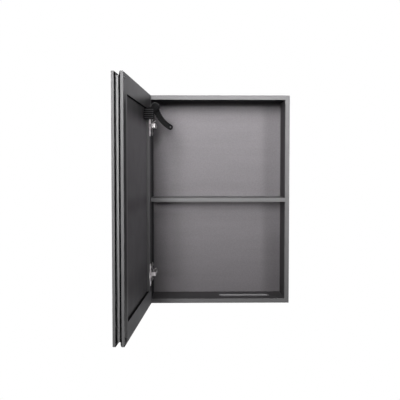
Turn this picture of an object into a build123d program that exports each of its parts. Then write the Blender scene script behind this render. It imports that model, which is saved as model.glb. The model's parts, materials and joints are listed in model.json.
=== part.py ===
from build123d import *
import os
from math import cos, radians, sin, sqrt

# Wall-hung mirror cabinet with one door, hinged on the left and standing open.
# Millimetres. X runs right, Y into the wall, Z up. The origin lies on the wall, at the middle of the
# upper hanging rail.

# Carcass
cabinet_width = 446
cabinet_height = 650
cabinet_depth = 124
board_thickness = 14
shelf_thickness = 13
shelf_rise = 325
back_thickness = 5
back_inset = 4
rail_thickness = 15
rail_height = 60
edge_chamfer = 0.8
fit_clearance = 0.2

# Slot in the floor for paper tissues
slot_length = 162
slot_width = 29
slot_from_right = 137
slot_from_front = 51

# Loose tongues between the side panels and the boards
tongue_thickness = 4
tongue_depth = 8
tongue_setback = 12

# Keyhole hangers let into the upper rail, with room behind them for their screw heads
hanger_from_side = 63
hanger_width = 40
hanger_height = 22
hanger_thickness = 2
hanger_setback = 1.2
keyhole_head_radius = 4.5
keyhole_slot_radius = 2.2
keyhole_rise = 6
keyhole_side_room = 1
keyhole_pocket_depth = 8

# Door leaf
door_thickness = 29
door_gap = 3
door_opening = 93.6
frame_margin = 48
frame_land = 10
mirror_border = 8
mirror_thickness = 4
backing_thickness = 3
cover_thickness = 3
cover_recess = 6
cover_clearance = 0.5
lip_thickness = 6.9
groove_depth = 9.1
groove_floor = 6.8
groove_bow = 1.3
bumper_radius = 4
bumper_inset = 14

# Concealed hinges
hinge_inset = 94
pin_from_edge = 6.5
pin_depth = 7
pin_radius = 1
running_gap = 0.05
cup_radius = 17.4
cup_wall = 1
cup_depth = 11.5
cup_edge_distance = 3.4
cup_rim = 0.8
flange_thickness = 1.2
flange_height = 69
flange_width = 19
flange_corner = 6
cup_screw_spread = 48
cup_head_radius = 3.6
cup_head_height = 1.2
arm_width = 12
arm_neck_width = 7
arm_neck_length = 9
arm_sheet = 2.4
arm_reach = 22
arm_bend = 4
arm_wall = 1.2
arm_boss_radius = 2.2
arm_length = 58
arm_channel_start = 13
arm_notch_gap = 0.5
plate_thickness = 2
plate_height = 60
plate_length = 34
plate_setback = 18
plate_wing_width = 14
plate_screw_spread = 44
plate_head_radius = 3.6
plate_head_height = 1.8
plate_shank_radius = 1.9
plate_shank_length = 11
plate_recess_width = 1
plate_recess_depth = 0.9
plate_corner = 3
rib_gap = 0.4
lever_thickness = 1.6
lever_width = 9
lever_foot = 4
lever_reach = 8
lever_rise = 5
lever_setback = 5

# Heads of the two adjusting screws on each hinge arm
adjust_head_radius = 2.8
adjust_head_height = 1
adjust_setbacks = (24, 42)

# Black guide at the top of the door, near its hinge side
guide_from_edge = 83
guide_width = 20
guide_height = 30
guide_below_top = 52
guide_reach = 29
guide_foot = 2.5
guide_foot_width = 16
guide_rib_count = 5
guide_rib_depth = 1.5
guide_rib_height = 2.4
guide_hub_out = 34
guide_hub_drop = 47
guide_hub_radius = 11
guide_cheek = 2.5
guide_pin_radius = 2.5
guide_arm_radius = 90
guide_arm_start = 192
guide_arm_sweep = 48
guide_arm_width = 16
guide_arm_wall = 1.6
guide_arm_depth = 10
guide_arm_play = 0.3
guide_eye_radius = 2.4
guide_cap_wall = 1.5
guide_cap_start = 15
guide_cap_sweep = 150

# Places worked out from the sizes
inner_width = cabinet_width - 2 * board_thickness
inner_height = cabinet_height - 2 * board_thickness
top_z = rail_height / 2 + board_thickness
bottom_z = top_z - cabinet_height
middle_z = (top_z + bottom_z) / 2
shelf_z = bottom_z + shelf_rise
front_y = -cabinet_depth
back_front_y = -rail_thickness - back_thickness
inner_x = inner_width / 2
outer_x = cabinet_width / 2
board_levels = (top_z - board_thickness / 2, bottom_z + board_thickness / 2)
joint_levels = board_levels + (shelf_z,)
rail_levels = (0, bottom_z + board_thickness + rail_height / 2)
hinge_levels = (("upper", top_z - hinge_inset), ("lower", bottom_z + hinge_inset))

# The door is drawn as if it were shut, round its pin, and turned open by its own plane
pin_x = -outer_x + pin_from_edge
pin_y = front_y - door_gap - pin_depth
turn = radians(door_opening)
door_frame = Plane(origin=(pin_x, pin_y, 0), x_dir=(cos(turn), -sin(turn), 0), z_dir=(0, 0, 1))
door_rear = pin_depth
door_front = door_rear - door_thickness
door_middle = (door_rear + door_front) / 2
door_hinge_edge = -pin_from_edge
door_free_edge = cabinet_width - pin_from_edge
door_centre_x = (door_hinge_edge + door_free_edge) / 2
cover_face = door_rear - cover_recess


def on_door(plane):
    """A plane of the shut door, carried to where the open door stands."""
    return Plane(door_frame.location * plane.location)


def keep(piece, label):
    """Name a finished piece and write it."""
    piece.part.label = label
    export_step(piece.part, f"parts/{label}.step")


def facing(axis_direction, x, y, z):
    """A plane at a point, looking along the given direction."""
    return Plane(origin=(x, y, z), z_dir=axis_direction)


os.makedirs("parts", exist_ok=True)

# Loose tongues of the joints between the side panels and the boards
tongue_length = cabinet_depth + back_front_y - 2 * tongue_setback
tongue_y = (front_y + back_front_y) / 2
tongue_spots = [(side * inner_x, tongue_y, level) for side in (-1, 1) for level in joint_levels]
with BuildPart() as carcass_tongues:
    with Locations(*tongue_spots):
        Box(2 * tongue_depth, tongue_length, tongue_thickness)
keep(carcass_tongues, "carcass_tongues")
with BuildPart() as tongue_grooves:
    with Locations(*tongue_spots):
        Box(2 * (tongue_depth + fit_clearance), tongue_length, tongue_thickness)

# Screw places on the hinges
cup_x = cup_edge_distance + cup_radius - pin_from_edge
arm_face_x = pin_x + arm_reach
plate_face = -inner_x + plate_thickness
plate_screw_y = front_y + plate_setback + plate_length / 2
plate_screw_places = []
for _, level in hinge_levels:
    for side in (-1, 1):
        plate_screw_z = level + side * plate_screw_spread / 2
        plate_screw_places.append(facing((1, 0, 0), plate_face, plate_screw_y, plate_screw_z))

# Side panels, grooved for the back and the tongues; the left one is bored for the hinge plates
for side, label in ((-1, "left_side_panel"), (1, "right_side_panel")):
    with BuildPart() as side_panel:
        with BuildSketch(Plane.XY.offset(bottom_z)):
            with Locations((side * (outer_x - board_thickness / 2), -cabinet_depth / 2)):
                Rectangle(board_thickness, cabinet_depth)
        extrude(amount=cabinet_height)
        chamfer(side_panel.faces().sort_by(Axis.Y)[0].edges(), edge_chamfer)
        with Locations((side * inner_x, back_front_y + back_thickness / 2, middle_z)):
            Box(
                2 * (back_inset + fit_clearance),
                back_thickness,
                inner_height + 2 * (back_inset + fit_clearance),
                mode=Mode.SUBTRACT,
            )
        add(tongue_grooves.part, mode=Mode.SUBTRACT)
        if side < 0:
            with Locations(*plate_screw_places):
                Cylinder(plate_shank_radius, 2 * plate_shank_length, mode=Mode.SUBTRACT)
    keep(side_panel, label)

# Top and bottom panels; the bottom one has the tissue slot
for label, level, up in (("top_panel", board_levels[0], 1), ("bottom_panel", board_levels[1], -1)):
    with BuildPart() as board:
        with BuildSketch(Plane.XY.offset(level - board_thickness / 2)):
            with Locations((0, -cabinet_depth / 2)):
                Rectangle(inner_width, cabinet_depth)
        extrude(amount=board_thickness)
        front_edges = board.faces().sort_by(Axis.Y)[0].edges().filter_by(Axis.X)
        chamfer(front_edges, edge_chamfer)
        with Locations((0, back_front_y + back_thickness / 2, level - up * board_thickness / 2)):
            Box(inner_width, back_thickness, 2 * (back_inset + fit_clearance), mode=Mode.SUBTRACT)
        add(tongue_grooves.part, mode=Mode.SUBTRACT)
        if label == "bottom_panel":
            with BuildSketch(Plane.XY.offset(level)):
                with Locations((outer_x - slot_from_right, front_y + slot_from_front)):
                    SlotOverall(slot_length, slot_width)
            extrude(amount=board_thickness, both=True, mode=Mode.SUBTRACT)
            slot_walls = board.faces().filter_by(GeomType.CYLINDER)
            chamfer(slot_walls.edges().filter_by(GeomType.CIRCLE), edge_chamfer)
    keep(board, label)

# Fixed shelf, flush with the front edges and reaching the back panel
with BuildPart() as shelf:
    with BuildSketch(Plane.XY.offset(shelf_z - shelf_thickness / 2)):
        with Locations((0, (front_y + back_front_y) / 2)):
            Rectangle(inner_width, back_front_y - front_y)
    extrude(amount=shelf_thickness)
    chamfer(shelf.faces().sort_by(Axis.Y)[0].edges().filter_by(Axis.X), edge_chamfer)
    add(tongue_grooves.part, mode=Mode.SUBTRACT)
keep(shelf, "shelf")

# Back panel, standing in the grooves of all four boards
with BuildPart() as back_panel:
    with BuildSketch(Plane.XZ.offset(-back_front_y - back_thickness)):
        with Locations((0, middle_z)):
            Rectangle(inner_width + 2 * back_inset, inner_height + 2 * back_inset)
    extrude(amount=back_thickness)
keep(back_panel, "back_panel")

# Hanging rails; the upper one has pockets for the hangers and for the heads of the wall screws
hanger_spots = [(side * (outer_x - hanger_from_side), 0) for side in (-1, 1)]
for label, level in zip(("upper_hanging_rail", "lower_hanging_rail"), rail_levels):
    with BuildPart() as rail:
        with BuildSketch(Plane.XZ):
            with Locations((0, level)):
                Rectangle(inner_width, rail_height)
        extrude(amount=rail_thickness)
        if label == "upper_hanging_rail":
            with BuildSketch(Plane.XZ):
                with Locations(*hanger_spots):
                    Rectangle(hanger_width, hanger_height)
            extrude(amount=hanger_setback + hanger_thickness, mode=Mode.SUBTRACT)
            with BuildSketch(Plane.XZ.offset(hanger_setback + hanger_thickness)):
                with Locations(*hanger_spots):
                    Rectangle(2 * (keyhole_head_radius + keyhole_side_room), hanger_height)
            extrude(amount=keyhole_pocket_depth, mode=Mode.SUBTRACT)
    keep(rail, label)

# Keyhole hangers, set back from the wall in their pockets
for spot, label in zip(hanger_spots, ("hanger_plate_left", "hanger_plate_right")):
    with BuildPart() as hanger:
        with BuildSketch(Plane.XZ.offset(hanger_setback)):
            with Locations(spot):
                Rectangle(hanger_width, hanger_height)
                with Locations((0, -keyhole_rise / 2)):
                    Circle(keyhole_head_radius, mode=Mode.SUBTRACT)
                SlotCenterToCenter(keyhole_rise, 2 * keyhole_slot_radius, rotation=90, mode=Mode.SUBTRACT)
        extrude(amount=hanger_thickness)
    keep(hanger, label)


def finger_groove(edge_plane, half_length):
    """The finger groove's cutter: X points out of the door's edge, Y through its thickness."""
    mouth = door_thickness / 2 - lip_thickness
    floor = groove_floor / 2
    with BuildPart() as cutter:
        with BuildSketch(on_door(edge_plane)):
            with BuildLine():
                SagittaArc((0, mouth), (-groove_depth, floor), groove_bow)
                Line((-groove_depth, floor), (-groove_depth, -floor))
                SagittaArc((-groove_depth, -floor), (0, -mouth), groove_bow)
                Polyline((0, -mouth), (groove_depth, -mouth), (groove_depth, mouth), (0, mouth))
            make_face()
        extrude(amount=half_length, both=True)
    return cutter.part


groove_cutters = []
for edge_x, edge_z, outward, along in (
    (door_free_edge, middle_z, (1, 0, 0), (0, 0, 1)),
    (door_centre_x, top_z, (0, 0, 1), (1, 0, 0)),
    (door_centre_x, bottom_z, (0, 0, -1), (1, 0, 0)),
):
    edge_plane = Plane(origin=(edge_x, door_middle, edge_z), x_dir=outward, z_dir=along)
    groove_cutters.append(finger_groove(edge_plane, cabinet_height))

# Door frame: four members of one section, mitred at the corners. The section runs from the door's
# edge inward and from its rear face to its front, with a land between the cover and the mirror.
cover_seat = cover_recess + cover_thickness
mirror_seat = door_thickness - mirror_thickness - backing_thickness
frame_section = (
    (0, 0),
    (frame_margin, 0),
    (frame_margin, cover_seat),
    (frame_margin + frame_land, cover_seat),
    (frame_margin + frame_land, mirror_seat),
    (mirror_border, mirror_seat),
    (mirror_border, door_thickness),
    (0, door_thickness),
)
right = Vector(1, 0, 0)
up = Vector(0, 0, 1)
frame_members = (
    ("door_free_stile", Vector(door_free_edge, door_rear, bottom_z), -right, up, cabinet_height),
    ("door_top_rail", Vector(door_free_edge, door_rear, top_z), -up, -right, cabinet_width),
    ("door_hinge_stile", Vector(door_hinge_edge, door_rear, top_z), right, -up, cabinet_height),
    ("door_bottom_rail", Vector(door_hinge_edge, door_rear, bottom_z), up, right, cabinet_width),
)
cup_bores = [on_door(facing((0, 1, 0), cup_x, door_rear, level)) for _, level in hinge_levels]
for label, corner, inward, run, length in frame_members:
    with BuildPart() as member:
        with BuildSketch(on_door(Plane(origin=corner, x_dir=inward, z_dir=run))) as section:
            with BuildLine():
                Polyline(*frame_section, close=True)
            make_face()
            chamfer(section.vertices().group_by(Axis.X)[0], edge_chamfer)
        extrude(amount=length)
        split(bisect_by=on_door(Plane(origin=corner, z_dir=run - inward)), keep=Keep.TOP)
        split(bisect_by=on_door(Plane(origin=corner + run * length, z_dir=-run - inward)), keep=Keep.TOP)
        add(groove_cutters, mode=Mode.SUBTRACT)
        if label == "door_hinge_stile":
            with Locations(*cup_bores):
                Cylinder(cup_radius + fit_clearance / 2, 2 * (cup_depth + fit_clearance), mode=Mode.SUBTRACT)
    keep(member, label)

# Mirror, the board behind it and the rear cover, each a flat sheet in its own seat
sheets = (
    ("mirror_glass", mirror_border + fit_clearance, door_front, mirror_thickness),
    ("mirror_backing", mirror_border + fit_clearance, door_front + mirror_thickness, backing_thickness),
    ("door_rear_cover", frame_margin + cover_clearance, cover_face - cover_thickness, cover_thickness),
)
for label, inset, front, thickness in sheets:
    sheet_plane = Plane(origin=(door_centre_x, front, middle_z), x_dir=(1, 0, 0), z_dir=(0, 1, 0))
    with BuildPart() as sheet:
        with BuildSketch(on_door(sheet_plane)):
            Rectangle(cabinet_width - 2 * inset, cabinet_height - 2 * inset)
        extrude(amount=thickness)
    keep(sheet, label)

# Soft bumpers at the free corners of the door's rear face
bumper_height = door_gap - fit_clearance
with BuildPart() as door_bumpers:
    for bumper_z in (bottom_z + bumper_inset, top_z - bumper_inset):
        with BuildSketch(on_door(facing((0, 1, 0), door_free_edge - bumper_inset, door_rear, bumper_z))):
            Circle(bumper_radius)
        extrude(amount=bumper_height)
keep(door_bumpers, "door_bumpers")

# Concealed hinges: a cup let into the door with a pin across it, and an arm seated on a plate
pin_half = sqrt(cup_radius ** 2 - (cup_x + pin_radius) ** 2)
web_x = arm_face_x - arm_sheet
rib_width = arm_width - 2 * arm_wall - 2 * rib_gap
for place, level in hinge_levels:
    mouth = on_door(Plane(origin=(cup_x, door_rear, level), x_dir=(1, 0, 0), z_dir=(0, 1, 0)))
    notch = on_door(Plane(origin=(0, 0, level), x_dir=(1, 0, 0), z_dir=(0, 1, 0)))

    with BuildPart() as hinge_cup:
        with BuildSketch(mouth):
            Circle(cup_radius)
        extrude(amount=-cup_depth)
        with BuildSketch(mouth):
            Circle(cup_radius + cup_rim)
            RectangleRounded(flange_width, flange_height, flange_corner)
        extrude(amount=flange_thickness)
        with BuildSketch(mouth.offset(flange_thickness)):
            Circle(cup_radius - cup_wall)
        extrude(amount=cup_wall - cup_depth - flange_thickness, mode=Mode.SUBTRACT)
        with BuildSketch(notch.offset(-arm_boss_radius - arm_notch_gap)):
            with Locations((-cup_radius / 2, 0)):
                Rectangle(cup_radius, arm_neck_width + 2 * arm_notch_gap)
        extrude(amount=2 * cup_depth, mode=Mode.SUBTRACT)
        with BuildSketch(mouth.offset(flange_thickness)):
            with GridLocations(1, cup_screw_spread, 1, 2):
                Circle(cup_head_radius)
        extrude(amount=cup_head_height)
        with Locations(notch):
            Cylinder(pin_radius, 2 * pin_half, rotation=(90, 0, 0))
    keep(hinge_cup, f"hinge_cup_{place}")

    with BuildPart() as hinge_arm:
        with BuildSketch(Plane.XY.offset(level)) as profile:
            with BuildLine():
                Polyline(
                    (pin_x, pin_y - arm_sheet / 2),
                    (arm_face_x, pin_y - arm_sheet / 2),
                    (arm_face_x, pin_y + arm_length),
                    (web_x, pin_y + arm_length),
                    (web_x, pin_y + arm_sheet / 2),
                    (pin_x, pin_y + arm_sheet / 2),
                    close=True,
                )
            make_face()
            fillet(profile.vertices().group_by(Axis.Y)[0].sort_by(Axis.X)[-1], arm_bend)
            inner_bend = profile.vertices().sort_by_distance((web_x, pin_y + arm_sheet / 2))[0]
            fillet(inner_bend, arm_bend - arm_sheet)
        extrude(amount=arm_width / 2, both=True)
        with BuildSketch(Plane.XY.offset(level)):
            with Locations(((plate_face + rib_gap + web_x) / 2, pin_y + (arm_channel_start + arm_length) / 2)):
                Rectangle(web_x - plate_face - rib_gap, arm_length - arm_channel_start)
        extrude(amount=arm_width / 2, both=True)
        with BuildSketch(Plane.XY.offset(level)):
            with Locations(((plate_face + web_x) / 2, pin_y + (arm_channel_start + arm_length) / 2)):
                Rectangle(web_x - plate_face, arm_length)
        extrude(amount=arm_width / 2 - arm_wall, both=True, mode=Mode.SUBTRACT)
        with BuildSketch(Plane.XY.offset(level)):
            with Locations((pin_x, pin_y)):
                Rectangle(2 * arm_neck_length, arm_width)
        extrude(amount=arm_width, both=True, mode=Mode.SUBTRACT)
        with BuildSketch(Plane.XY.offset(level)):
            with Locations((pin_x + (arm_neck_length + arm_sheet) / 2, pin_y)):
                Rectangle(arm_neck_length + arm_sheet, arm_sheet)
            with Locations((pin_x, pin_y)):
                Circle(arm_boss_radius)
        extrude(amount=arm_neck_width / 2, both=True)
        with Locations((pin_x, pin_y, level)):
            Cylinder(pin_radius + running_gap, 2 * arm_width, mode=Mode.SUBTRACT)
        with BuildSketch(Plane.YZ.offset(arm_face_x)):
            with Locations(*[(front_y + setback, level) for setback in adjust_setbacks]):
                Circle(adjust_head_radius)
        extrude(amount=adjust_head_height)
    keep(hinge_arm, f"hinge_arm_{place}")

    with BuildPart() as mounting_plate:
        with BuildSketch(Plane.YZ.offset(-inner_x)):
            with Locations((plate_screw_y, level)):
                foot = Rectangle(plate_length, arm_width + 2 * plate_corner)
                chamfer(foot.vertices(), plate_corner)
                wings = Rectangle(plate_wing_width, plate_height)
                chamfer(wings.vertices().group_by(Axis.Y)[0] + wings.vertices().group_by(Axis.Y)[-1], plate_corner)
        extrude(amount=plate_thickness)
        with BuildSketch(Plane.YZ.offset(plate_face)):
            with Locations((plate_screw_y, level)):
                Rectangle(plate_length - 2 * plate_corner, rib_width)
        extrude(amount=web_x - plate_face)
        with Locations(*[spot for spot in plate_screw_places if abs(spot.origin.Z - level) < plate_height]):
            Cylinder(plate_shank_radius, 4 * plate_thickness, mode=Mode.SUBTRACT)
    keep(mounting_plate, f"hinge_plate_{place}")

    with BuildPart() as lever:
        lever_x = (plate_face + web_x) / 2
        lever_z = level + arm_width / 2
        with BuildSketch(Plane.XZ.offset(-front_y - lever_setback)):
            with BuildLine():
                spine = Polyline(
                    (lever_x, lever_z),
                    (lever_x, lever_z + lever_foot),
                    (lever_x + lever_reach, lever_z + lever_foot + lever_rise),
                )
                offset(spine, amount=lever_thickness, side=Side.LEFT)
            make_face()
        extrude(amount=-lever_width)
    keep(lever, f"hinge_lever_{place}")

# Screws that hold the mounting plates, each with a cross recess in its head
with BuildPart() as hinge_plate_screws:
    with Locations(*plate_screw_places):
        with Locations((0, 0, plate_head_height / 2)):
            Cylinder(plate_head_radius, plate_head_height)
        with Locations((0, 0, -plate_shank_length / 2)):
            Cylinder(plate_shank_radius, plate_shank_length)
        with Locations((0, 0, plate_head_height)):
            Box(plate_head_radius, plate_recess_width, 2 * plate_recess_depth, mode=Mode.SUBTRACT)
            Box(plate_recess_width, plate_head_radius, 2 * plate_recess_depth, mode=Mode.SUBTRACT)
keep(hinge_plate_screws, "hinge_plate_screws")

# Black guide on the door: a ribbed bracket with two cheeks, a pin, and a curved channel that turns on
# it. Its outline plane has X standing out from the cover and Y up.
guide_x = door_hinge_edge + guide_from_edge + guide_width / 2
guide_z = top_z - guide_below_top - guide_height / 2
guide_side = on_door(Plane(origin=(guide_x, 0, 0), x_dir=(0, 1, 0), z_dir=(1, 0, 0)))
hub_out = cover_face + guide_hub_out
hub_z = top_z - guide_hub_drop
cheek_inside = guide_arm_depth / 2 + guide_arm_play
cheek_outside = cheek_inside + guide_cheek
block_end = cover_face + guide_reach
block_top = guide_z + guide_height / 2

with BuildPart() as guide_bracket:
    with BuildSketch(guide_side):
        with Locations(((cover_face + block_end) / 2, guide_z)):
            Rectangle(guide_reach, guide_height)
    extrude(amount=guide_width / 2, both=True)
    with BuildSketch(guide_side) as cheeks:
        with Locations((hub_out, hub_z)):
            Circle(guide_hub_radius)
        with BuildLine():
            Polyline(
                (cover_face, block_top - guide_height / 2),
                (block_end, block_top - guide_height / 2),
                (hub_out + guide_hub_radius, hub_z),
                (hub_out - guide_hub_radius, hub_z),
                (cover_face, block_top),
                close=True,
            )
        make_face()
    extrude(amount=cheek_outside, both=True)
    with BuildSketch(guide_side):
        with Locations((hub_out, hub_z)):
            Circle(guide_hub_radius + guide_arm_width)
    extrude(amount=cheek_inside, both=True, mode=Mode.SUBTRACT)
    with BuildSketch(guide_side.offset(-guide_width / 2)):
        with Locations((cover_face + guide_foot / 2, guide_z)):
            Rectangle(guide_foot, guide_height)
    extrude(amount=-guide_foot_width)
    rib_pitch = guide_height / guide_rib_count
    with BuildSketch(guide_side.offset(guide_width / 2)):
        with Locations(((cover_face + block_end) / 2, guide_z)):
            with GridLocations(1, rib_pitch, 1, guide_rib_count):
                Rectangle(guide_reach, guide_rib_height)
    extrude(amount=guide_rib_depth)
    with Locations(guide_side.location * Location((hub_out, hub_z, 0))):
        Cylinder(guide_pin_radius, 4 * guide_width, mode=Mode.SUBTRACT)
keep(guide_bracket, "guide_bracket")

with BuildPart() as guide_pin:
    with Locations(guide_side.location * Location((hub_out, hub_z, 0))):
        Cylinder(guide_pin_radius, 2 * cheek_outside)
keep(guide_pin, "guide_pin")

arc_end = guide_arm_start + guide_arm_sweep
arc_x = hub_out - guide_arm_radius * cos(radians(guide_arm_start))
arc_z = hub_z - guide_arm_radius * sin(radians(guide_arm_start))
eye_x = arc_x + guide_arm_radius * cos(radians(arc_end))
eye_z = arc_z + guide_arm_radius * sin(radians(arc_end))


def channel_outline(shrink):
    """The curved arm seen from the side, smaller all round by the given amount."""
    half_width = guide_arm_width / 2 - shrink
    with BuildSketch() as outline:
        with BuildLine():
            middle = (arc_x, arc_z)
            outer = CenterArc(middle, guide_arm_radius + half_width, guide_arm_start, guide_arm_sweep)
            inner = CenterArc(middle, guide_arm_radius - half_width, guide_arm_start, guide_arm_sweep)
            Line(outer @ 0, inner @ 0)
            Line(outer @ 1, inner @ 1)
        make_face()
        with Locations((eye_x, eye_z), (hub_out, hub_z)):
            Circle(half_width)
    return outline.sketch


arm_outside = channel_outline(0)
arm_inside = channel_outline(guide_arm_wall)
with BuildPart() as guide_arm:
    with BuildSketch(guide_side.offset(-guide_arm_depth / 2)):
        add(arm_outside)
    extrude(amount=guide_arm_depth)
    with BuildSketch(guide_side.offset(guide_arm_wall - guide_arm_depth / 2)):
        add(arm_inside)
    extrude(amount=guide_arm_depth, mode=Mode.SUBTRACT)
    with Locations(guide_side.location * Location((hub_out, hub_z, 0))):
        Cylinder(guide_pin_radius + guide_arm_wall, guide_arm_depth)
        Cylinder(guide_pin_radius + running_gap, 2 * guide_arm_depth, mode=Mode.SUBTRACT)
    with Locations(guide_side.location * Location((eye_x, eye_z, 0))):
        Cylinder(guide_eye_radius + guide_arm_wall, guide_arm_depth)
        Cylinder(guide_eye_radius, 2 * guide_arm_depth, mode=Mode.SUBTRACT)
keep(guide_arm, "guide_arm")

with BuildPart() as guide_cap:
    with BuildSketch(guide_side):
        with BuildLine():
            hub = (hub_out, hub_z)
            under = CenterArc(hub, guide_hub_radius, guide_cap_start, guide_cap_sweep)
            over = CenterArc(hub, guide_hub_radius + guide_cap_wall, guide_cap_start, guide_cap_sweep)
            Line(under @ 0, over @ 0)
            Line(under @ 1, over @ 1)
        make_face()
    extrude(amount=guide_width / 2, both=True)
keep(guide_cap, "guide_cap")
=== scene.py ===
import json
from math import cos, pi, radians, sin

import bmesh
import bpy
from bpy.props import FloatProperty, FloatVectorProperty, PointerProperty
from mathutils import Matrix, Vector


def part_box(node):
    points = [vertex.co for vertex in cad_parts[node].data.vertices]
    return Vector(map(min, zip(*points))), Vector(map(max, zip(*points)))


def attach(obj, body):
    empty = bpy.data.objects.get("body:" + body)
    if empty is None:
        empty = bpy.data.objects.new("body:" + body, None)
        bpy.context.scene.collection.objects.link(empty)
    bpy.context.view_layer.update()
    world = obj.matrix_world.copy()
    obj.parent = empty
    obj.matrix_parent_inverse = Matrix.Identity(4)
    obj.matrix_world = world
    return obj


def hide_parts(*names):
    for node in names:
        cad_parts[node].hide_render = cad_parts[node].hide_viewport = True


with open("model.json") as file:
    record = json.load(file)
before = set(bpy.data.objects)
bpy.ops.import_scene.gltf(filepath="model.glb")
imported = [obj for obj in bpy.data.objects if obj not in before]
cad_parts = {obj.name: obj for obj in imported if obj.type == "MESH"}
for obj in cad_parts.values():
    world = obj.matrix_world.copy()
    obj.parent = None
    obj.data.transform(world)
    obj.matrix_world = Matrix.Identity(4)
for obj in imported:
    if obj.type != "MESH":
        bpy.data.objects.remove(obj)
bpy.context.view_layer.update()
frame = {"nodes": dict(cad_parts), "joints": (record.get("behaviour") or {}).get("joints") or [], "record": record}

bl_info = {
    "name": "Medicine Cabinet",
    "version": (1, 0, 0),
    "blender": (4, 5, 0),
    "location": "View3D > Sidebar > Cabinet",
    "description": "Dresses a wall-hung mirror cabinet whose door stands open",
    "category": "Add Mesh",
}

# Places read from the frame. Metres, X right, Y into the wall, Z up.
door_joint = next(joint for joint in frame["joints"] if joint["name"] == "door_hinge")
pin = Vector(door_joint["pos_m"])
door_turn = radians(door_joint["range_deg"][0])
door_place = Matrix.Translation((pin.x, pin.y, 0)) @ Matrix.Rotation(door_turn, 4, "Z")
carcass_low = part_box("left_side_panel")[0]
carcass_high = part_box("right_side_panel")[1]
mid_height, half_height = (carcass_low.z + carcass_high.z) / 2, (carcass_high.z - carcass_low.z) / 2
back_low, back_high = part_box("back_panel")
hinge_levels = {place: sum(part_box("hinge_cup_" + place), Vector()).z / 2 for place in ("upper", "lower")}
X, Y, Z = (Vector(axis) for axis in ((1, 0, 0), (0, 1, 0), (0, 0, 1)))

# How near counts as the same place, how near corners merge, and the facets of a cup, a screw and a wire.
near = 1e-4
merge_reach = 1e-5
cup_sides, screw_sides, wire_sides = 56, 28, 20

# How much of a normal lies along a direction that a face roughly or squarely faces, or that an edge runs along.
roughly, squarely, parallel = 0.9, 0.99, 0.999


def declares(kind, **settings):
    """A function that declares one kind of value."""
    return lambda name, description, default: kind(name=name, description=description, default=default, **settings)


number = declares(FloatProperty)
length = declares(FloatProperty, unit="LENGTH", precision=4)
angle = declares(FloatProperty, subtype="ANGLE")
pair = declares(FloatVectorProperty, size=2, unit="LENGTH")
point = declares(FloatVectorProperty, subtype="TRANSLATION", unit="LENGTH")
colour = declares(FloatVectorProperty, subtype="COLOR", min=0, max=1)


def lamp_values(name, default):
    description = "Degrees to the right, up and of aim, width, height and power"
    return declares(FloatVectorProperty, size=6)(name, description, default)


class CabinetFinish(bpy.types.PropertyGroup):
    """Colours of the finishes and of the painted light and shade."""

    board: colour("Board", "Lacquer of the boards and the door frame", (0.215, 0.212, 0.216))
    # The door frame's rear face has the boards' lacquer in a darker colour: painted shade.
    rear_frame: colour("Rear frame", "Lacquer on the door frame's rear face", (0.16, 0.157, 0.165))
    # The floor strip of the finger groove is lighter than the lacquer: a light strip, partly painted light on the
    # groove's shaded floor. The groove's walls are near black, and the same near black stands on the walls of the
    # cover's recess as painted shade.
    groove_strip: colour("Groove strip", "Floor of the finger groove", (0.345, 0.343, 0.347))
    groove_wall: colour("Groove wall", "Walls of the finger groove and of the cover's recess", (0.004, 0.004, 0.0045))
    # The carcass's inner faces have the boards' lacquer in darker colours: painted shade, lightest on the floor,
    # darker on the right wall, darkest on the left wall and under the top.
    inner_floor: colour("Inner floor", "Foil of the carcass's floor", (0.155, 0.150, 0.155))
    # The slot's wall is lighter than the boards: painted light.
    cut_edge: colour("Cut edge", "Lacquer on the slot's wall", (0.33, 0.325, 0.335))
    inner_wall: colour("Inner wall", "Foil of the inner face on the right", (0.098, 0.094, 0.098))
    inner_shade: colour("Inner shade", "Foil of the inner faces on the left and above", (0.026, 0.025, 0.027))
    back: colour("Back", "Foil of the back panel", (0.208, 0.196, 0.207))
    cover: colour("Cover", "Foil of the door's rear cover", (0.112, 0.107, 0.115))
    fibre: colour("Fibreboard", "Bare rear face of the back panel", (0.30, 0.19, 0.11))
    chipboard: colour("Chipboard", "Bare grey board of the rails and the mirror's backing", (0.16, 0.155, 0.15))
    birch: colour("Birch", "Plywood of the tongues", (0.55, 0.38, 0.22))
    zinc: colour("Zinc", "Plating of the hangers", (0.60, 0.62, 0.64))
    nickel: colour("Nickel", "Plating of the hinge arms and levers", (0.5, 0.475, 0.485))
    cup: colour("Cup nickel", "Plating of the hinge cups and flanges", (0.90, 0.86, 0.875))
    plate: colour("Plate nickel", "Dull plating of the mounting plates", (0.24, 0.23, 0.235))
    glass: colour("Glass edge", "Ground edge of the mirror", (0.22, 0.40, 0.35))
    silver: colour("Silver", "Silvering of the mirror", (0.90, 0.92, 0.915))
    bumper: colour("Bumper", "Soft door bumpers", (0.095, 0.094, 0.097))
    nylon: colour("Nylon", "Moulding of the guide", (0.0045, 0.0045, 0.005))
    # The guide's ribs and cap have a lighter nylon on their outermost faces: painted highlight.
    rib: colour("Rib", "Rubbed edges of the guide's ribs", (0.045, 0.044, 0.047))


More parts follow.
